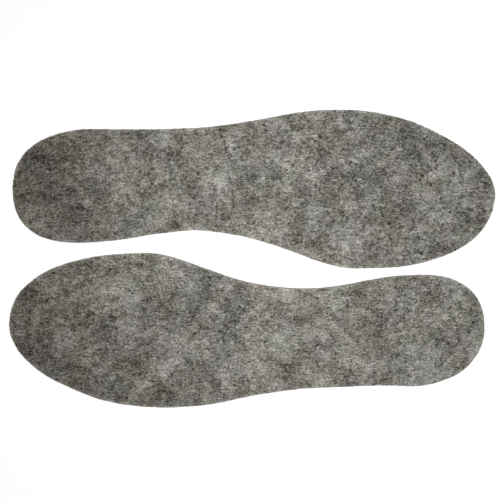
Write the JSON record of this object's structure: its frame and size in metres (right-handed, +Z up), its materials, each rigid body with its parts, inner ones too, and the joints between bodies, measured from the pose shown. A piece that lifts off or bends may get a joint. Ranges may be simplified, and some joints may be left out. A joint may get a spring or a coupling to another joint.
{
  "type": "insole pair",
  "caption": "Pair of flat felt insoles, each one die-cut sheet, lying side by side heel to toe with one turned over; laid in a shoe to cushion and insulate the foot.",
  "frame": {"origin": "on the surface that the insoles lie on, under the middle of the pair", "axes": "+X along the insoles, towards the left insole's toe; +Y towards the left insole's outer side; +Z up"},
  "size_m": [0.2738, 0.1682, 0.005],
  "materials": {
    "wool_felt": "matte needled wool felt, grey mottled with lighter and darker fibres"
  },
  "bodies": {
    "left_insole": {"left_insole": "wool_felt"},
    "right_insole": {"right_insole": "wool_felt"}
  },
  "joints": [
    {"name": "right_insole_lift", "type": "slide", "parent": "left_insole", "child": "right_insole", "axis": [0, 0, 1], "range_m": [0, 0.06]}
  ]
}
